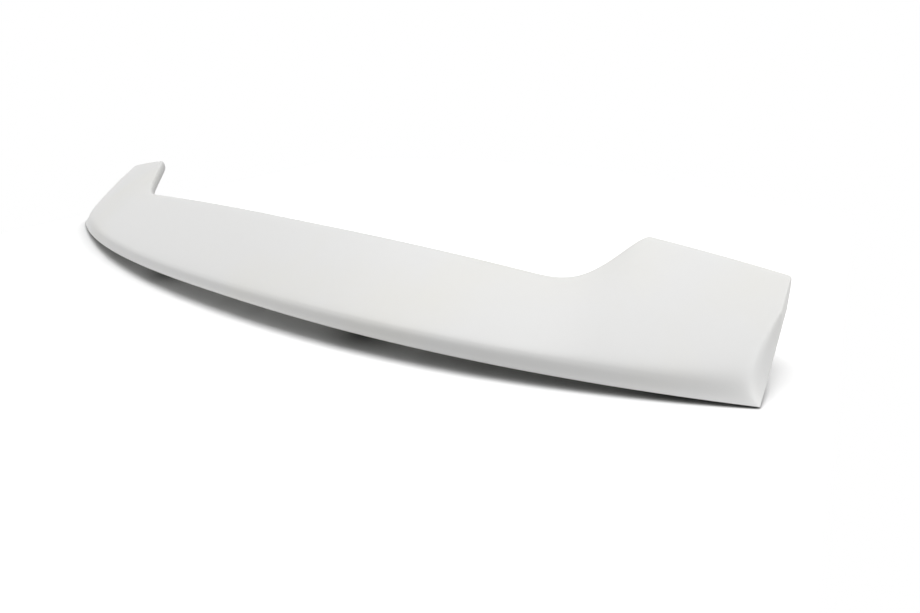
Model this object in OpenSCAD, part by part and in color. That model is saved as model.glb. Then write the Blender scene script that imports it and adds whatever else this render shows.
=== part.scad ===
// Car tailgate spoiler: one open-backed white moulding with two forward ears.
// X runs across the car, +Y towards the front of the car and +Z up. The origin is on the
// surface the spoiler rests on, under the middle of its plan.

/* [Plan outline] */
// Width across the two rear corners
overall_w = 1200; // [1150:10:1400]
// How far the rear edge bows out behind the line through its corners
rear_bow = 124; // [100:2:160]
// Power of the rear bow, higher keeps the middle straighter
bow_power = 2.25; // [1.8:0.05:3]
// Front edge at the middle, ahead of the line through the rear corners
centre_front = 4; // [-10:1:30]
// Forward sweep of the front edge from the middle to the ends
front_sweep = 58; // [46:2:90]
// Extra forward reach of each ear
ear_len = 65; // [40:1:110]
// Width of each ear across its blunt tip
ear_w = 141; // [120:1:160]
// Width of the S-shaped inner flank of each ear
flank_w = 121; // [100:1:130]
// Shift of that flank towards the tip, 1 being an even S
flank_power = 2.35; // [1.5:0.05:2.6]

/* [Section] */
// Height of the skin at the rear corners
rear_h = 19.5; // [14:0.5:40]
// Extra height of the skin in the middle, its crown
crown = 19.5; // [0:0.5:40]
// Height of the lower edge above the resting surface at the rear corners
edge_gap = 2; // [1:0.5:4]
// Arch of the lower rear edge above those corners
rear_arch = 22.5; // [0:0.5:32]
// Depth over which the rear face leans forward
rear_lean = 6.5; // [6:0.5:12]
// Further lean of the rear face at the two rear corners
corner_lean = 13; // [0:1:16]
// Inset of the sloping side face at the rear corner
side_lean = 22; // [6:1:30]
// Inset of the side face ahead of the corner
side_edge = 2; // [1.5:0.5:6]
// Length over which the side face narrows
side_run = 80; // [40:2:110]
// Rise of the lower side edge from the rear corner to the tip of the ear
side_lift = 52; // [30:1:56]
// Tightness of the rounding along the rear and side creases
crease_power = 6; // [3:0.5:8]
// Rounding of the crease round the corner, higher is tighter
corner_power = 2; // [1.6:0.1:5]
// Rise of the skin in each millimetre forward of the rear face
skin_rise = 0.515; // [0.3:0.005:0.6]
// Loss of that rise over each further millimetre
skin_bend = 0.00037; // [0:0.00001:0.0006]
// Extra rise of the skin over the ears
ear_rise = 0.135; // [0:0.005:0.2]
// Depth over which the arch of the lower edge fades out
arch_fade = 60; // [30:5:90]

/* [Wall and edges] */
// Thickness of the moulded skin
skin_t = 5; // [3:0.5:8]
// Thickness of the front lip and of the flat land under it
lip_t = 12; // [8:0.5:18]
// Depth of the rolled nose of the front lip
lip_roll = 7; // [4:0.5:12]
// Width of the flat land under the front lip
land_w = 22; // [16:1:28]
// Width of the lower rim of the rear and side walls
rim_w = 7; // [5:0.5:9]
// Draft of every inner wall
draft = 2; // [1:0.5:2.5]

/* [Underside] */
// Distance from the middle to the inner pair of fixing feet
foot_inner_x = 190; // [150:5:215]
// Distance from each side edge to the outer pair of fixing feet
foot_side_gap = 85; // [76:1:100]
// Width of each fixing foot
foot_w = 40; // [30:1:50]
// Where the feet begin, as a share of the depth from the rear edge
foot_back = 0.33; // [0.3:0.01:0.4]
// Where the feet end, as a share of the depth from the rear edge
foot_front = 0.62; // [0.5:0.01:0.66]
// Distance of each side rib inboard of the ear's root
rib_gap = 20; // [15:1:25]
// Thickness of the ribs
rib_t = 5; // [3:0.5:8]
// Depth of the ribs below the skin
rib_deep = 12; // [6:1:20]

/* [Hidden] */
half_w = overall_w / 2;
ear_root = half_w - ear_w - flank_w;
rib_xs = [0, ear_root - rib_gap];
foot_xs = [foot_inner_x, half_w - foot_side_gap];
// Spacing of the grid across plain stretches, the ears and their curved flanks
plain_step = 46;
ear_step = 23;
flank_step = 6.5;
// Grid lines across the side face, as steps inboard of its inner wall
side_steps = [4, 10, 18, 29, 43];
// Shares of the way from the rear wall to the feet at which the skin is drawn
rear_shares = [0.12, 0.26, 0.47, 0.75];
// Filler lines keep this far from those of a rib, foot or wall
least_gap = 3;
// Shares of a wall at which its sloping outer face is drawn
wall_shares = [0, 0.35, 0.65];
// Share of the nose depth and lip thickness at the middle of the nose
nose_mid = 0.3;
// Slack in comparing places on the grid
eps = 0.01;
// Least value that a power is taken of
tiny = 0.000001;
// Power by which the rear face's further lean gathers at the corners
corner_reach = 8;
// Power by which the lower side edge lifts towards the tip of the ear
lift_power = 1.3;

function clamp01(a) = max(0, min(1, a));
function ease(a) = clamp01(a) * clamp01(a) * (3 - 2 * clamp01(a));
function share(x) = abs(x) / half_w;
function bow(x) = 1 - pow(share(x), 2);

// Plan outline: the rear edge, the ears and the front edge
function rear_y(x) = -rear_bow * (1 - pow(max(share(x), tiny), bow_power));
function ear(x) = ease(pow(clamp01((abs(x) - ear_root) / flank_w), flank_power));
function front_y(x) = centre_front + front_sweep * pow(share(x), 2) + ear_len * ear(x);
function depth(x) = front_y(x) - rear_y(x);

// Height of the smooth skin before its rear and side creases, at a distance d ahead of the rear edge
function skin_z(x, d) =
    let (q = d - rear_lean)
    rear_h + crown * bow(x) + (skin_rise + ear_rise * ear(x) - skin_bend * q) * q;
function arch_z(x, d) = rear_arch * bow(x) * clamp01(1 - d / arch_fade);
function side_z(y) = side_lift * pow(clamp01(y / front_y(half_w)), lift_power);
function edge_z(x, d) = edge_gap + arch_z(x, d) + side_z(rear_y(x) + d);
function lean(x) = rear_lean + corner_lean * pow(share(x), corner_reach);
function side_inset(y) = side_lean * clamp01(1 - max(y, 0) / side_run) + side_edge;

// The creases: both faces lean in and round into the skin and into each other
function crease(x, d) =
    let (a = max(d / lean(x), tiny),
         b = max((half_w - abs(x)) / side_inset(rear_y(x) + d), tiny),
         m = pow(pow(a, -corner_power) + pow(b, -corner_power), -1 / corner_power))
    m / pow(1 + pow(m, crease_power), 1 / crease_power);
function top_z(x, d) = edge_z(x, d) + (skin_z(x, d) - edge_z(x, d)) * crease(x, d);

// The plan runs as far ahead of the origin as behind it
plan_mid = (front_y(half_w) + rear_y(0)) / 2;

// Grid across the part: right-hand lines, then mirrored
function near(x, marks) = len([for (m = marks) if (abs(m - x) < least_gap) 1]) > 0;
function steps(from, to, step) =
    let (n = max(1, round((to - from) / step)))
    [for (i = [0 : n - 1]) from + (to - from) * i / n];
function both(x, half, d) = [x - half - d, x - half, x + half, x + half + d];
function sorted(v) =
    len(v) <= 1 ? v :
    let (p = v[floor(len(v) / 2)])
    concat(sorted([for (a = v) if (a < p) a]), [p], sorted([for (a = v) if (a > p) a]));

feature_lines = [
    for (x = rib_xs, a = both(x, rib_t / 2, draft)) if (a > 0) a,
    for (x = foot_xs, a = both(x, foot_w / 2, draft)) a,
    for (a = wall_shares) half_w - a * rim_w,
    half_w - rim_w,
    half_w - rim_w - draft,
    for (a = side_steps) half_w - rim_w - draft - a
];
ear_tip = ear_root + flank_w;
ear_out = half_w - rim_w - draft - side_steps[len(side_steps) - 1] - least_gap;
filler_lines = [
    each steps(0, ear_root, plain_step),
    each steps(ear_root, ear_tip, flank_step),
    each steps(ear_tip, ear_out, ear_step)
];
right_lines = sorted([
    each feature_lines,
    for (x = filler_lines) if (x == 0 || !near(x, feature_lines)) x
]);
lines = [
    for (i = [len(right_lines) - 1 : -1 : 1]) -right_lines[i],
    each right_lines
];
cols = len(lines);

// Distances of the grid rows from the rear edge: wall, skin, feet, front land and nose
function blend(a, b, shares) = [for (t = shares) a + (b - a) * t];
function row_list(x) =
    let (all = depth(x), wall = rim_w + draft,
         foot_0 = foot_back * all, foot_1 = foot_front * all, land = all - land_w)
    [
        each blend(0, rim_w, [wall_shares[0], wall_shares[1]]),
        rim_w, wall,
        each blend(wall, foot_0 - draft, rear_shares),
        foot_0 - draft, foot_0, (foot_0 + foot_1) / 2, foot_1, foot_1 + draft,
        (foot_1 + land) / 2, land - draft, land, (land + all - lip_roll) / 2, all - lip_roll,
        all - nose_mid * lip_roll, all
    ];
line_rows = [for (x = lines) row_list(x)];
all_rows = len(line_rows[0]);
nose_row = all_rows - 3;
function top_point(i, j) =
    let (x = lines[i], d = line_rows[i][min(j, nose_row)],
         drop = j <= nose_row ? 0 : (j < all_rows - 1 ? nose_mid : 1) * lip_t)
    [x, rear_y(x) + line_rows[i][j], max(edge_z(x, d), top_z(x, d) - drop)];

// The underside: rim, feet, ribs, front land, or the hollow below the skin
function beside(x, marks, half) = len([for (m = marks) if (abs(abs(x) - m) <= half + eps) 1]) > 0;
function on_foot(x, d) =
    d >= foot_back * depth(x) - eps && d <= foot_front * depth(x) + eps
    && beside(x, foot_xs, foot_w / 2);
function under_z(x, d) =
    half_w - abs(x) <= rim_w + eps ? edge_z(x, d) :
    d <= rim_w + eps ? edge_z(x, 0) :
    on_foot(x, d) ? 0 :
    depth(x) - d <= land_w + eps ? max(edge_z(x, d), top_z(x, d) - lip_t) :
    max(edge_z(x, d), top_z(x, d) - skin_t - (beside(x, rib_xs, rib_t / 2) ? rib_deep : 0));
function under_point(i, j) =
    let (x = lines[i], d = line_rows[i][j])
    [x, rear_y(x) + d, under_z(x, j <= nose_row ? d : line_rows[i][nose_row])];

// Faces: two sheets that share their whole border
function top_at(i, j) = i * all_rows + j;
function under_at(i, j) =
    (i == 0 || i == cols - 1 || j == 0 || j == all_rows - 1) ? top_at(i, j) :
    cols * all_rows + (i - 1) * (all_rows - 2) + j - 1;
moulding_points = [
    for (i = [0 : cols - 1], j = [0 : all_rows - 1]) top_point(i, j),
    for (i = [1 : cols - 2], j = [1 : all_rows - 2]) under_point(i, j)
];
// Each cell is cut along the diagonal that mirrors about the middle
function cell(a, b, c, d, left) = left ? [[a, b, c], [a, c, d]] : [[a, b, d], [b, c, d]];
moulding_faces = [
    for (i = [0 : cols - 2], j = [0 : all_rows - 2], up = [true, false])
        let (left = lines[i] < 0,
             f = up
                ? cell(top_at(i, j), top_at(i, j + 1), top_at(i + 1, j + 1), top_at(i + 1, j), left)
                : cell(under_at(i, j), under_at(i + 1, j), under_at(i + 1, j + 1), under_at(i, j + 1), !left))
        each f
];

module spoiler_moulding() {
    color("whitesmoke")
        translate([0, -plan_mid, 0])
            polyhedron(points = moulding_points, faces = moulding_faces, convexity = 8);
}

spoiler_moulding();
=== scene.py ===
"""Looks of a plain white car tailgate spoiler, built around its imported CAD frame."""

import logging
import math
from dataclasses import dataclass, field
from enum import Enum
from typing import Callable

import bmesh
import bpy
from mathutils import Matrix, Vector


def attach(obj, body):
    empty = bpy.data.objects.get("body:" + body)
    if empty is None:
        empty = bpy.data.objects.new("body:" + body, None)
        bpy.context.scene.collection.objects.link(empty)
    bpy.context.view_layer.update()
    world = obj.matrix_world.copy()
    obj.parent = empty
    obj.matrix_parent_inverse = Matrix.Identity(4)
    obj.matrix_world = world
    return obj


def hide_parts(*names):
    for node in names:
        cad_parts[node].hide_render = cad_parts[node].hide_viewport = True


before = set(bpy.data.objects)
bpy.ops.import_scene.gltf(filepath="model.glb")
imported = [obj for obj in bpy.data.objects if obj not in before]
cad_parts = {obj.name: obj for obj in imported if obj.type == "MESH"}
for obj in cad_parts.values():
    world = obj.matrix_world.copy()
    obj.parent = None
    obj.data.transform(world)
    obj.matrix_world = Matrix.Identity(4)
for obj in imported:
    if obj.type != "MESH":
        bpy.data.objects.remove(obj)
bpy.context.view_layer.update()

MM = 0.001
BODY = "root"
NODE = "spoiler_moulding"
WHITE = (1.0, 1.0, 1.0, 1.0)
BLACK = (0.0, 0.0, 0.0, 1.0)
log = logging.getLogger("spoiler")


class Side(Enum):
    """The two sides of the moulded skin, valued by their material slot."""

    OUTER = 0
    INNER = 1


def clamp01(value: float) -> float:
    """Limits a value to the range from 0 to 1."""
    return max(0.0, min(1.0, value))


def ease(value: float) -> float:
    """Smooth step from 0 to 1."""
    t = clamp01(value)
    return t * t * (3.0 - 2.0 * t)


def spread(start: float, end: float, count: int, power: float = 1.0) -> list[float]:
    """Places from start up to, but without, end.

    Args:
        start: first place.
        end: place that the next stretch starts with.
        count: how many places.
        power: above 1 crowds them towards the start.

    Returns:
        The places in order.
    """
    return [start + (end - start) * (i / count) ** power for i in range(count)]


def linear(hex_colour: str) -> tuple[float, float, float, float]:
    """Turns an sRGB hex colour into Blender's linear colour.

    Args:
        hex_colour: six hex digits, such as "e6e6e4".

    Returns:
        Red, green, blue and alpha.
    """
    parts = [int(hex_colour[i:i + 2], 16) / 255.0 for i in (0, 2, 4)]
    lin = [c / 12.92 if c <= 0.04045 else ((c + 0.055) / 1.055) ** 2.4 for c in parts]
    return (lin[0], lin[1], lin[2], 1.0)


def add_node(tree: bpy.types.NodeTree, kind: str, settings: dict | None = None,
             links: dict | None = None) -> bpy.types.Node:
    """Adds a shader node with its settings and incoming links.

    Args:
        tree: node tree that takes it.
        kind: Blender's node type.
        settings: attribute names, or input names, to values.
        links: input names or numbers to the output sockets that feed them.

    Returns:
        The new node.
    """
    node = tree.nodes.new(kind)
    for name, value in (settings or {}).items():
        if isinstance(name, str) and hasattr(node, name):
            setattr(node, name, value)
        else:
            node.inputs[name].default_value = value
    for name, socket in (links or {}).items():
        tree.links.new(socket, node.inputs[name])
    return node


def empty_tree(owner: bpy.types.Material | bpy.types.World) -> bpy.types.NodeTree:
    """Turns on the nodes of a material or world and clears them."""
    owner.use_nodes = True
    owner.node_tree.nodes.clear()
    return owner.node_tree


def mesh_data(mesh: bmesh.types.BMesh, name: str) -> bpy.types.Mesh:
    """Turns a bmesh into mesh data and frees it."""
    data = bpy.data.meshes.new(name)
    mesh.to_mesh(data)
    mesh.free()
    return data


def add_object(name: str, data: bpy.types.ID) -> bpy.types.Object:
    """Adds an object with its data to the scene."""
    made = bpy.data.objects.new(name, data)
    bpy.context.scene.collection.objects.link(made)
    return made


@dataclass(frozen=True)
class Outline:
    """Plan of the spoiler in millimetres: bowed rear edge, recessed front edge and two ears."""

    width: float = 1200.0
    rear_bow: float = 124.0
    bow_power: float = 2.25
    centre_front: float = 4.0
    front_sweep: float = 58.0
    ear_width: float = 141.0
    flank_width: float = 121.0
    flank_power: float = 2.35
    ear_length: float = 65.0

    @property
    def half(self) -> float:
        """Half the width."""
        return self.width / 2.0

    @property
    def ear_root(self) -> float:
        """Distance from the middle to the root of an ear."""
        return self.half - self.ear_width - self.flank_width

    @property
    def middle(self) -> float:
        """Middle of the plan's depth, which lies over the origin."""
        return (self.front(self.half) + self.rear(0.0)) / 2.0

    def share(self, x: float) -> float:
        """Distance from the middle as a share of half the width."""
        return abs(x) / self.half

    def bow(self, x: float) -> float:
        """Crosswise bow, 1 in the middle and 0 at the ends."""
        return 1.0 - self.share(x) ** 2

    def ear(self, x: float) -> float:
        """How far the ear is grown, from 0 in the recess to 1 at its tip."""
        return ease(clamp01((abs(x) - self.ear_root) / self.flank_width) ** self.flank_power)

    def rear(self, x: float) -> float:
        """Rear edge, negative towards the rear of the car."""
        return -self.rear_bow * (1.0 - self.share(x) ** self.bow_power)

    def front(self, x: float) -> float:
        """Front edge."""
        sweep = self.front_sweep * self.share(x) ** 2
        return self.centre_front + sweep + self.ear_length * self.ear(x)

    def depth(self, x: float) -> float:
        """Distance from the rear edge to the front edge."""
        return self.front(x) - self.rear(x)


@dataclass(frozen=True)
class Section:
    """Heights of the outer face in millimetres: rear face, creases, crowned skin and side faces.

    The rear face leans most in the corners, and the lower edge rises along the ears. A higher
    lean_power or lift_power keeps that change nearer to the end of the part, and a higher
    crease_power or corner_power makes the creases or the corner between them tighter.
    """

    outline: Outline
    rear_height: float = 19.5
    crown: float = 19.5
    edge_gap: float = 2.0
    rear_arch: float = 22.5
    rear_lean: float = 6.5
    corner_lean: float = 10.0
    lean_power: float = 8.0
    side_lean: float = 16.0
    side_edge: float = 2.0
    side_run: float = 80.0
    crease_power: float = 4.6
    corner_power: float = 2.2
    skin_rise: float = 0.515
    skin_bend: float = 0.00037
    ear_rise: float = 0.135
    arch_fade: float = 60.0
    side_lift: float = 52.0
    lift_power: float = 1.3
    # Smallest share that the creases are worked out with, so that no power divides by zero.
    least: float = 1e-6

    def edge(self, x: float, d: float) -> float:
        """Lower edge above the floor: arched along the rear and rising along the ears."""
        arch = self.rear_arch * self.outline.bow(x) * clamp01(1.0 - d / self.arch_fade)
        ahead = clamp01((self.outline.rear(x) + d) / self.outline.front(self.outline.half))
        return self.edge_gap + arch + self.side_lift * ahead ** self.lift_power

    def skin(self, x: float, d: float) -> float:
        """Smooth skin before the creases."""
        q = d - self.rear_lean
        rise = self.skin_rise + self.ear_rise * self.outline.ear(x) - self.skin_bend * q
        return self.rear_height + self.crown * self.outline.bow(x) + rise * q

    def crease(self, x: float, d: float) -> float:
        """Share of the full height that the rear and side faces leave at a place."""
        y = self.outline.rear(x) + d
        inset = self.side_lean * clamp01(1.0 - max(y, 0.0) / self.side_run) + self.side_edge
        lean = self.rear_lean + self.corner_lean * self.outline.share(x) ** self.lean_power
        from_rear = max(d / lean, self.least)
        from_side = max((self.outline.half - abs(x)) / inset, self.least)
        power = self.corner_power
        both = (from_rear ** -power + from_side ** -power) ** (-1.0 / power)
        return both / (1.0 + both ** self.crease_power) ** (1.0 / self.crease_power)

    def top(self, x: float, d: float) -> float:
        """Outer face with its creases."""
        low = self.edge(x, d)
        return low + (self.skin(x, d) - low) * self.crease(x, d)


@dataclass(frozen=True)
class Underside:
    """Walls, front land, fixing feet and ribs below the skin, in millimetres."""

    section: Section
    skin: float = 5.0
    lip: float = 12.0
    lip_roll: float = 7.0
    land: float = 22.0
    rim: float = 7.0
    draft: float = 2.0
    inner_foot: float = 190.0
    foot_side_gap: float = 85.0
    foot_width: float = 40.0
    # Where the feet start and end, as shares of the depth.
    foot_back: float = 0.33
    foot_front: float = 0.62
    rib_gap: float = 20.0
    rib_thickness: float = 5.0
    rib_depth: float = 12.0
    # Places that lie on a limit count as inside it.
    slack: float = 0.01

    @property
    def feet(self) -> tuple[float, float]:
        """Distances of the feet from the middle."""
        return (self.inner_foot, self.section.outline.half - self.foot_side_gap)

    @property
    def ribs(self) -> tuple[float, float]:
        """Distances of the ribs from the middle."""
        return (0.0, self.section.outline.ear_root - self.rib_gap)

    def beside(self, x: float, marks: tuple[float, ...], half: float) -> bool:
        """Whether a place lies within half a width of one of the marks."""
        return any(abs(abs(x) - mark) <= half + self.slack for mark in marks)

    def height(self, x: float, d: float) -> float:
        """Height of the underside.

        Args:
            x: place across the part.
            d: distance from the rear edge.

        Returns:
            Height above the floor in millimetres.
        """
        depth = self.section.outline.depth(x)
        top, edge = self.section.top(x, d), self.section.edge(x, d)
        foot_start, foot_end = self.foot_back * depth, self.foot_front * depth
        on_foot = foot_start - self.slack <= d <= foot_end + self.slack
        if self.section.outline.half - abs(x) <= self.rim + self.slack:
            return edge
        if d <= self.rim + self.slack:
            return self.section.edge(x, 0.0)
        if on_foot and self.beside(x, self.feet, self.foot_width / 2.0):
            return 0.0
        if depth - d <= self.land + self.slack:
            return max(edge, top - self.lip)
        rib = self.rib_depth if self.beside(x, self.ribs, self.rib_thickness / 2.0) else 0.0
        return max(edge, top - self.skin - rib)


@dataclass(frozen=True)
class Gelcoat:
    """White polyester gelcoat straight from the mould, unpainted.

    It gives a clean, slightly waxy white with a satin sheen, a faint orange peel, a few pinholes
    with painted shade in them and the slight yellowing that bare gelcoat takes in patches.
    """

    white: str = "e7e7e6"
    # Colour of the pinholes: painted shade inside them, as they are too small to be shaded.
    warm: str = "e7e6e1"
    pit_shade: str = "8f8d88"
    roughness: float = 0.46
    ior: float = 1.5
    # The peel makes the sheen a little uneven.
    gloss_drop: float = 0.04
    gloss_rise: float = 0.06
    # Yellowed patches: where they start in the noise, where they are full, and how strong.
    cloud_mm: float = 180.0
    cloud_low: float = 0.52
    cloud_high: float = 0.75
    cloud_share: float = 0.7
    peel_mm: float = 5.0
    peel_height_mm: float = 0.3
    peel_strength: float = 0.05
    wave_mm: float = 70.0
    wave_height_mm: float = 1.5
    wave_strength: float = 0.12
    # Real pits are about 0.4 mm, too fine for the frame, so they are drawn 1 mm across.
    pit_radius_mm: float = 0.5
    pit_floor: float = 0.4
    pit_spacing_mm: float = 42.0
    pit_share: float = 0.16
    pit_depth_mm: float = 0.5
    pit_strength: float = 0.6

    def material(self) -> bpy.types.Material:
        """Builds the material.

        Returns:
            The finished gelcoat material.
        """
        mat = bpy.data.materials.new("white_gelcoat_moulded")
        tree = empty_tree(mat)
        place = add_node(tree, "ShaderNodeTexCoord").outputs["Object"]
        cloud = add_node(tree, "ShaderNodeTexNoise",
                         {"Scale": 1.0 / (self.cloud_mm * MM), "Detail": 3.0}, {"Vector": place})
        patches = add_node(tree, "ShaderNodeMapRange",
                           {"From Min": self.cloud_low, "From Max": self.cloud_high,
                            "To Min": 0.0, "To Max": self.cloud_share},
                           {"Value": cloud.outputs["Fac"]})
        tint = add_node(tree, "ShaderNodeMix",
                        {"data_type": "RGBA", 6: linear(self.white), 7: linear(self.warm)},
                        {0: patches.outputs["Result"]})
        cells = add_node(tree, "ShaderNodeTexVoronoi",
                         {"Scale": 1.0 / (self.pit_spacing_mm * MM)}, {"Vector": place})
        pit_size = self.pit_radius_mm / self.pit_spacing_mm
        inside = add_node(tree, "ShaderNodeMapRange",
                          {"From Min": pit_size, "From Max": self.pit_floor * pit_size},
                          {"Value": cells.outputs["Distance"]})
        chosen = add_node(tree, "ShaderNodeMath", {"operation": "LESS_THAN", 1: self.pit_share},
                          {0: cells.outputs["Color"]})
        pits = add_node(tree, "ShaderNodeMath", {"operation": "MULTIPLY"},
                        {0: inside.outputs["Result"], 1: chosen.outputs["Value"]})
        # Painted shade: inside the pinholes the colour goes towards the pit shade grey.
        colour = add_node(tree, "ShaderNodeMix", {"data_type": "RGBA", 7: linear(self.pit_shade)},
                          {0: pits.outputs["Value"], 6: tint.outputs[2]})
        peel = add_node(tree, "ShaderNodeTexNoise",
                        {"Scale": 1.0 / (self.peel_mm * MM), "Detail": 2.0}, {"Vector": place})
        wave = add_node(tree, "ShaderNodeTexNoise",
                        {"Scale": 1.0 / (self.wave_mm * MM), "Detail": 1.0}, {"Vector": place})
        fine = add_node(tree, "ShaderNodeBump",
                        {"Strength": self.peel_strength, "Distance": self.peel_height_mm * MM},
                        {"Height": peel.outputs["Fac"]})
        broad = add_node(tree, "ShaderNodeBump",
                         {"Strength": self.wave_strength, "Distance": self.wave_height_mm * MM},
                         {"Height": wave.outputs["Fac"], "Normal": fine.outputs["Normal"]})
        sunk = add_node(tree, "ShaderNodeBump",
                        {"Strength": self.pit_strength, "Distance": self.pit_depth_mm * MM,
                         "invert": True},
                        {"Height": pits.outputs["Value"], "Normal": broad.outputs["Normal"]})
        sheen = add_node(tree, "ShaderNodeMapRange",
                         {"To Min": self.roughness - self.gloss_drop,
                          "To Max": self.roughness + self.gloss_rise},
                         {"Value": peel.outputs["Fac"]})
        shader = add_node(tree, "ShaderNodeBsdfPrincipled", {"IOR": self.ior},
                          {"Base Color": colour.outputs[2], "Normal": sunk.outputs["Normal"],
                           "Roughness": sheen.outputs["Result"]})
        add_node(tree, "ShaderNodeOutputMaterial", None, {"Surface": shader.outputs["BSDF"]})
        return mat


@dataclass(frozen=True)
class StrandLaminate:
    """Back of a hand-laid glass laminate: resin over chopped strand mat.

    It gives a rough, slightly greenish white with tangled strands that catch the light.
    """

    resin: str = "cfd0c6"
    strand: str = "dfe0da"
    roughness: float = 0.6
    ior: float = 1.52
    # Strands: where they start in the tangled noise and where they are full.
    strand_mm: float = 9.0
    strand_low: float = 0.42
    strand_high: float = 0.6
    strand_tangle: float = 2.5
    strand_height_mm: float = 0.6
    strand_strength: float = 0.35
    lump_mm: float = 26.0
    lump_height_mm: float = 2.0
    lump_strength: float = 0.3

    def material(self) -> bpy.types.Material:
        """Builds the material.

        Returns:
            The finished laminate material.
        """
        mat = bpy.data.materials.new("strand_laminate_back")
        tree = empty_tree(mat)
        place = add_node(tree, "ShaderNodeTexCoord").outputs["Object"]
        tangle = add_node(tree, "ShaderNodeTexNoise",
                          {"Scale": 1.0 / (self.strand_mm * MM), "Detail": 4.0,
                           "Distortion": self.strand_tangle},
                          {"Vector": place})
        threads = add_node(tree, "ShaderNodeMapRange",
                           {"From Min": self.strand_low, "From Max": self.strand_high},
                           {"Value": tangle.outputs["Fac"]})
        colour = add_node(tree, "ShaderNodeMix",
                          {"data_type": "RGBA", 6: linear(self.resin), 7: linear(self.strand)},
                          {0: threads.outputs["Result"]})
        lumps = add_node(tree, "ShaderNodeTexNoise",
                         {"Scale": 1.0 / (self.lump_mm * MM), "Detail": 2.0}, {"Vector": place})
        broad = add_node(tree, "ShaderNodeBump",
                         {"Strength": self.lump_strength, "Distance": self.lump_height_mm * MM},
                         {"Height": lumps.outputs["Fac"]})
        fine = add_node(tree, "ShaderNodeBump",
                        {"Strength": self.strand_strength, "Distance": self.strand_height_mm * MM},
                        {"Height": threads.outputs["Result"], "Normal": broad.outputs["Normal"]})
        shader = add_node(tree, "ShaderNodeBsdfPrincipled",
                          {"IOR": self.ior, "Roughness": self.roughness},
                          {"Base Color": colour.outputs[2], "Normal": fine.outputs["Normal"]})
        add_node(tree, "ShaderNodeOutputMaterial", None, {"Surface": shader.outputs["BSDF"]})
        return mat


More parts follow.
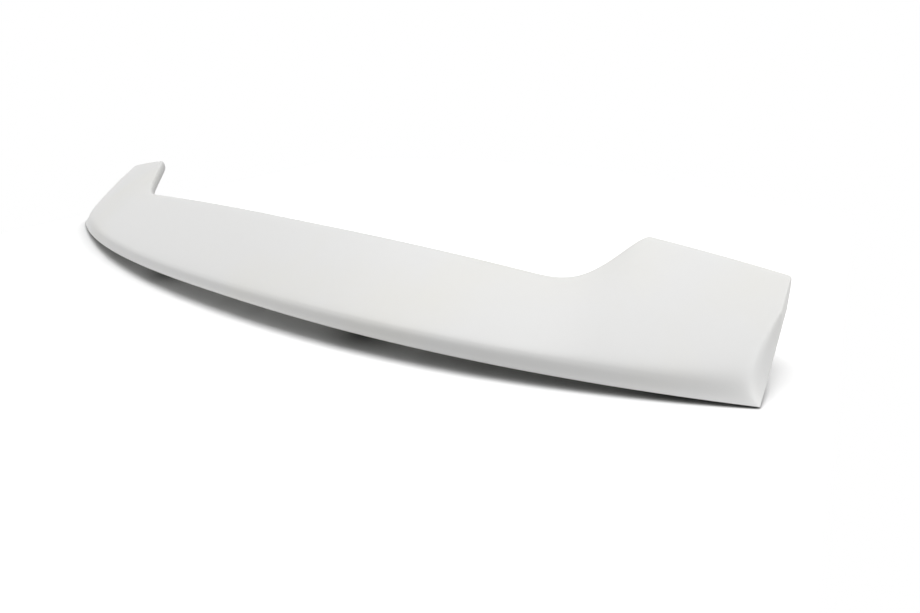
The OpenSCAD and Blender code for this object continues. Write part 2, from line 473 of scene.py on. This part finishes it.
@dataclass
class SpoilerMoulding:
    """The whole spoiler: outer sheet and underside sheet joined along the trimmed edge."""

    outline: Outline = field(default_factory=Outline)
    # Spacing of the lines across the part, crowded towards its side walls.
    plain_step: float = 12.0
    flank_step: float = 2.5
    ear_step: float = 7.0
    side_step: float = 2.0
    side_band: float = 52.0
    side_crowding: float = 1.5
    rim_step: float = 1.0
    rim_crowding: float = 1.3
    # Lines nearer than this to the edge of a wall, rib or foot are left out.
    least_gap: float = 3.0
    # Counts of rows from the rear edge to the front edge, crowded towards the rear wall.
    rim_rows: int = 7
    rear_rows: int = 14
    rear_crowding: float = 1.4
    foot_rows: int = 7
    front_rows: int = 5
    land_rows: int = 4
    nose_rows: int = 6
    weld_gap: float = 0.02
    edge_round: float = 0.9
    edge_segments: int = 2
    # Above 2 the front lip has a squarer nose than a quarter of an ellipse.
    nose_power: float = 3.2
    sharp_angle: float = math.radians(32.0)
    section: Section = field(init=False)
    under: Underside = field(init=False)
    lines: list[float] = field(init=False)
    rows: dict[float, list[float]] = field(init=False)

    def __post_init__(self) -> None:
        """Lays out the section, the underside and the grid that both sheets share."""
        self.section = Section(self.outline)
        self.under = Underside(self.section)
        self.lines = self.grid_lines()
        self.rows = {x: self.grid_rows(x) for x in self.lines}

    def grid_lines(self) -> list[float]:
        """Places across the part at which the sheets are drawn.

        Returns:
            Places in millimetres, from the left end to the right end.
        """
        under, half, root = self.under, self.outline.half, self.outline.ear_root
        wall = half - under.rim - under.draft
        marks = [half - under.rim, wall]
        for centre, half_width in ([(x, under.rib_thickness / 2.0) for x in under.ribs]
                                   + [(x, under.foot_width / 2.0) for x in under.feet]):
            marks += [centre + side * (half_width + extra)
                      for side in (-1, 1) for extra in (0.0, under.draft)]
        marks = [x for x in marks if x > 0.0]
        tip = root + self.outline.flank_width
        band = wall - self.side_band
        fill = spread(0.0, root, round(root / self.plain_step))
        fill += spread(root, tip, round(self.outline.flank_width / self.flank_step))
        fill += spread(tip, band, round((band - tip) / self.ear_step))
        fill += spread(wall, band, round(self.side_band / self.side_step), self.side_crowding)[1:]
        right = marks + [x for x in fill
                         if x == 0.0 or all(abs(x - mark) >= self.least_gap for mark in marks)]
        right += spread(half, half - under.rim, round(under.rim / self.rim_step), self.rim_crowding)
        right = sorted(set(right))
        return [-x for x in reversed(right) if x > 0.0] + right

    def grid_rows(self, x: float) -> list[float]:
        """Distances from the rear edge at which one line across is drawn.

        Args:
            x: place of the line.

        Returns:
            Distances in millimetres, ending at the front edge.
        """
        under, depth = self.under, self.outline.depth(x)
        draft, wall = under.draft, under.rim + under.draft
        foot_start, foot_end = under.foot_back * depth, under.foot_front * depth
        land, nose = depth - under.land, depth - under.lip_roll
        places = spread(0.0, under.rim, self.rim_rows) + [under.rim]
        places += spread(wall, foot_start - draft, self.rear_rows, self.rear_crowding)
        places += [foot_start - draft]
        places += spread(foot_start, foot_end, self.foot_rows) + [foot_end]
        places += spread(foot_end + draft, land - draft, self.front_rows) + [land - draft]
        places += spread(land, nose, self.land_rows)
        places += [nose + under.lip_roll * math.sin(math.radians(90.0 * i / self.nose_rows))
                   for i in range(self.nose_rows + 1)]
        return places

    def outer_height(self, x: float, d: float) -> float:
        """Outer face with the rolled nose along the front edge.

        Args:
            x: place across the part.
            d: distance from the rear edge.

        Returns:
            Height above the floor in millimetres.
        """
        roll, power = self.under.lip_roll, self.nose_power
        nose = self.outline.depth(x) - roll
        if d <= nose:
            return self.section.top(x, d)
        drop = 1.0 - max(0.0, 1.0 - ((d - nose) / roll) ** power) ** (1.0 / power)
        return max(self.section.edge(x, nose), self.section.top(x, nose) - drop * self.under.lip)

    def inner_height(self, x: float, d: float) -> float:
        """Underside, flat below the rolled nose."""
        return self.under.height(x, min(d, self.outline.depth(x) - self.under.lip_roll))

    def sheet(self, mesh: bmesh.types.BMesh, side: Side,
              height: Callable[[float, float], float]) -> None:
        """Adds one sheet of the moulding as a grid moved into shape.

        Args:
            mesh: mesh that takes the sheet.
            side: which side of the skin it is.
            height: height at a place across and a distance from the rear edge.
        """
        columns, count = len(self.lines) - 1, len(self.rows[self.lines[0]]) - 1
        made = bmesh.ops.create_grid(mesh, x_segments=columns, y_segments=count, size=1.0)
        middle = self.outline.middle
        for vert in made["verts"]:
            i = round((vert.co.x + 1.0) / 2.0 * columns)
            j = round((vert.co.y + 1.0) / 2.0 * count)
            x = self.lines[i]
            d = self.rows[x][j]
            border = i in (0, columns) or j in (0, count)
            z = self.outer_height(x, d) if border else height(x, d)
            vert.co = Vector((x, self.outline.rear(x) + d - middle, z)) * MM
        for face in {f for v in made["verts"] for f in v.link_faces}:
            face.material_index = side.value
            face.smooth = True
            if side is Side.INNER:
                face.normal_flip()

    def build(self) -> bpy.types.Object:
        """Builds the closed moulding.

        Returns:
            The new object, in place at the origin.
        """
        mesh = bmesh.new()
        self.sheet(mesh, Side.OUTER, self.outer_height)
        self.sheet(mesh, Side.INNER, self.inner_height)
        bmesh.ops.remove_doubles(mesh, verts=mesh.verts, dist=self.weld_gap * MM)
        trimmed = [edge for edge in mesh.edges
                   if len({face.material_index for face in edge.link_faces}) == len(Side)]
        bmesh.ops.bevel(mesh, geom=trimmed, offset=self.edge_round * MM, offset_type="OFFSET",
                        segments=self.edge_segments, profile=0.5, affect="EDGES",
                        clamp_overlap=True, material=-1)
        for edge in mesh.edges:
            if len(edge.link_faces) == 2 and edge.calc_face_angle(0.0) > self.sharp_angle:
                edge.smooth = False
        return add_object("spoiler_skin", mesh_data(mesh, "spoiler_skin"))

    def dress(self, piece: bpy.types.Object) -> None:
        """Gives the piece its finishes and ties it to the frame.

        Args:
            piece: the built moulding.
        """
        piece.data.materials.append(Gelcoat().material())
        piece.data.materials.append(StrandLaminate().material())
        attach(piece, BODY)
        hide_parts(NODE)


@dataclass(frozen=True)
class Camera:
    """Wide-angle view from above the rear right corner, as in the photograph."""

    place_mm: tuple[float, float, float] = (610.5, -514.9, 304.4)
    turn_deg: float = 33.217
    dip_deg: float = 24.435
    roll_deg: float = 0.71
    focal_px: float = 571.8
    frame_px: tuple[int, int] = (920, 613)
    sensor_mm: float = 36.0
    clip_start_m: float = 0.01

    def build(self) -> None:
        """Makes the camera and sets it as the scene's."""
        data = bpy.data.cameras.new("view")
        data.sensor_fit = "HORIZONTAL"
        data.sensor_width = self.sensor_mm
        data.lens = self.focal_px / self.frame_px[0] * self.sensor_mm
        data.clip_start = self.clip_start_m
        camera = add_object("view", data)
        turn = Matrix.Rotation(math.radians(self.turn_deg), 4, "Z")
        dip = Matrix.Rotation(math.radians(90.0 - self.dip_deg), 4, "X")
        roll = Matrix.Rotation(math.radians(-self.roll_deg), 4, "Z")
        camera.matrix_world = Matrix.Translation(Vector(self.place_mm) * MM) @ turn @ dip @ roll
        bpy.context.scene.camera = camera


@dataclass(frozen=True)
class Softbox:
    """One large soft lamp, in metres and watts."""

    name: str
    place: tuple[float, float, float]
    aim: tuple[float, float, float]
    size: tuple[float, float]
    power: float

    def build(self) -> None:
        """Hangs the lamp and turns it to its aim."""
        data = bpy.data.lights.new(self.name, "AREA")
        data.shape = "RECTANGLE"
        data.size, data.size_y = self.size
        data.energy = self.power
        lamp = add_object(self.name, data)
        lamp.location = self.place
        way = Vector(self.aim) - Vector(self.place)
        lamp.rotation_euler = way.to_track_quat("-Z", "Y").to_euler()


@dataclass(frozen=True)
class Studio:
    """White studio: floor, sky and lamps."""

    floor_size: float = 30.0
    sky_strength: float = 0.165
    # The paper has one colour for the eye and a darker one for the light it throws on the part.
    paper: str = "e4e4e4"
    bounce: str = "868686"
    # The eye sees the paper brighter by this gain, fading to pure white between near and far.
    floor_gain: float = 0.56
    near: float = 0.68
    far: float = 1.0
    # It fades to white beside the two ends as well, which paints over the part's shadow there:
    # painted light.
    side_near: float = 0.6
    side_far: float = 0.66
    # Within this reach right under the part, ambient occlusion darkens the paper's colour for the
    # eye: a painted shadow.
    contact: float = 0.05
    contact_power: float = 1.55
    contact_samples: int = 16
    lamps: tuple[Softbox, ...] = (
        Softbox("top_softbox", (0.0, 0.2, 2.5), (0.0, 0.0, 0.0), (3.0, 1.6), 42.5),
        Softbox("right_softbox", (2.4, 0.5, 1.3), (0.4, 0.0, 0.05), (1.4, 1.2), 27.0),
        Softbox("rear_left_softbox", (-2.2, -1.6, 1.1), (-0.2, 0.0, 0.05), (2.0, 1.2), 21.0),
        Softbox("rear_right_softbox", (1.6, -2.2, 1.0), (0.3, 0.0, 0.05), (1.8, 1.0), 5.0),
    )

    def seen(self, tree: bpy.types.NodeTree) -> bpy.types.NodeSocket:
        """Socket that is 1 for camera, glossy and transmission rays and 0 for the rest."""
        path = add_node(tree, "ShaderNodeLightPath")
        some = add_node(tree, "ShaderNodeMath", {"operation": "MAXIMUM"},
                        {0: path.outputs["Is Camera Ray"], 1: path.outputs["Is Glossy Ray"]})
        both = add_node(tree, "ShaderNodeMath", {"operation": "MAXIMUM"},
                        {0: some.outputs["Value"], 1: path.outputs["Is Transmission Ray"]})
        return both.outputs["Value"]

    def build_sky(self) -> None:
        """Makes the world: white to the eye, dimmer as a lamp."""
        world = bpy.data.worlds.new("white_sky")
        tree = empty_tree(world)
        lit = add_node(tree, "ShaderNodeBackground",
                       {"Color": WHITE, "Strength": self.sky_strength})
        white = add_node(tree, "ShaderNodeBackground", {"Color": WHITE, "Strength": 1.0})
        mix = add_node(tree, "ShaderNodeMixShader", None,
                       {0: self.seen(tree), 1: lit.outputs[0], 2: white.outputs[0]})
        add_node(tree, "ShaderNodeOutputWorld", None, {"Surface": mix.outputs[0]})
        bpy.context.scene.world = world

    def floor_material(self) -> bpy.types.Material:
        """White paper: matt, with painted shadow under the part, painted white beside its ends, and
        pure white to the eye far away.

        Returns:
            The floor's material.
        """
        mat = bpy.data.materials.new("white_paper")
        tree = empty_tree(mat)
        seen = self.seen(tree)
        place = add_node(tree, "ShaderNodeTexCoord").outputs["Object"]
        away = add_node(tree, "ShaderNodeVectorMath", {"operation": "LENGTH"}, {0: place})
        fade = add_node(tree, "ShaderNodeMapRange",
                        {"interpolation_type": "SMOOTHSTEP", "From Min": self.near,
                         "From Max": self.far},
                        {"Value": away.outputs["Value"]})
        across = add_node(tree, "ShaderNodeSeparateXYZ", None, {0: place})
        aside = add_node(tree, "ShaderNodeMath", {"operation": "ABSOLUTE"},
                         {0: across.outputs["X"]})
        # Painted light: beside the ends the paper turns white for the eye, over the part's own
        # shadow.
        beside = add_node(tree, "ShaderNodeMapRange",
                          {"interpolation_type": "SMOOTHSTEP", "From Min": self.side_near,
                           "From Max": self.side_far},
                          {"Value": aside.outputs["Value"]})
        whiter = add_node(tree, "ShaderNodeMath", {"operation": "MAXIMUM"},
                          {0: fade.outputs["Result"], 1: beside.outputs["Result"]})
        # Painted shadow: for the eye the paper's colour goes towards black where the part is near.
        contact = add_node(tree, "ShaderNodeAmbientOcclusion",
                           {"samples": self.contact_samples, "Distance": self.contact})
        painted_shadow = add_node(tree, "ShaderNodeMath", {"operation": "POWER", 1: self.contact_power},
                        {0: contact.outputs["AO"]})
        paper_with_painted_shadow = add_node(tree, "ShaderNodeMix",
                        {"data_type": "RGBA", 6: BLACK, 7: linear(self.paper)},
                        {0: painted_shadow.outputs["Value"]})
        paper = add_node(tree, "ShaderNodeMix", {"data_type": "RGBA", 6: linear(self.bounce)},
                         {0: seen, 7: paper_with_painted_shadow.outputs[2]})
        matt = add_node(tree, "ShaderNodeBsdfDiffuse", None, {"Color": paper.outputs[2]})
        gain = add_node(tree, "ShaderNodeMath", {"operation": "MULTIPLY", 1: self.floor_gain},
                        {0: painted_shadow.outputs["Value"]})
        seen_gain = add_node(tree, "ShaderNodeMath", {"operation": "MULTIPLY"},
                             {0: gain.outputs["Value"], 1: seen})
        extra = add_node(tree, "ShaderNodeBsdfDiffuse", None, {"Color": seen_gain.outputs["Value"]})
        both = add_node(tree, "ShaderNodeAddShader", None,
                        {0: matt.outputs[0], 1: extra.outputs[0]})
        white = add_node(tree, "ShaderNodeEmission", {"Color": WHITE, "Strength": 1.0})
        share = add_node(tree, "ShaderNodeMath", {"operation": "MULTIPLY"},
                         {0: whiter.outputs["Value"], 1: seen})
        mix = add_node(tree, "ShaderNodeMixShader", None,
                       {0: share.outputs["Value"], 1: both.outputs[0], 2: white.outputs[0]})
        add_node(tree, "ShaderNodeOutputMaterial", None, {"Surface": mix.outputs[0]})
        return mat

    def build_floor(self) -> None:
        """Lays the plain white floor that keeps the shadow, deepened under the part by painted
        shadow.
        """
        mesh = bmesh.new()
        bmesh.ops.create_grid(mesh, x_segments=1, y_segments=1, size=self.floor_size / 2.0)
        data = mesh_data(mesh, "floor")
        data.materials.append(self.floor_material())
        floor = add_object("floor", data)

    def build(self) -> None:
        """Sets up the whole studio."""
        self.build_sky()
        self.build_floor()
        for lamp in self.lamps:
            lamp.build()
        bpy.context.scene.view_settings.view_transform = "Standard"


def main() -> None:
    """Builds the camera, the studio and the spoiler in order."""
    logging.basicConfig(level=logging.INFO, format="%(message)s")
    Camera().build()
    Studio().build()
    moulding = SpoilerMoulding()
    piece = moulding.build()
    moulding.dress(piece)
    log.info("%s: %d faces", piece.name, len(piece.data.polygons))


if __name__ == "__main__":
    main()
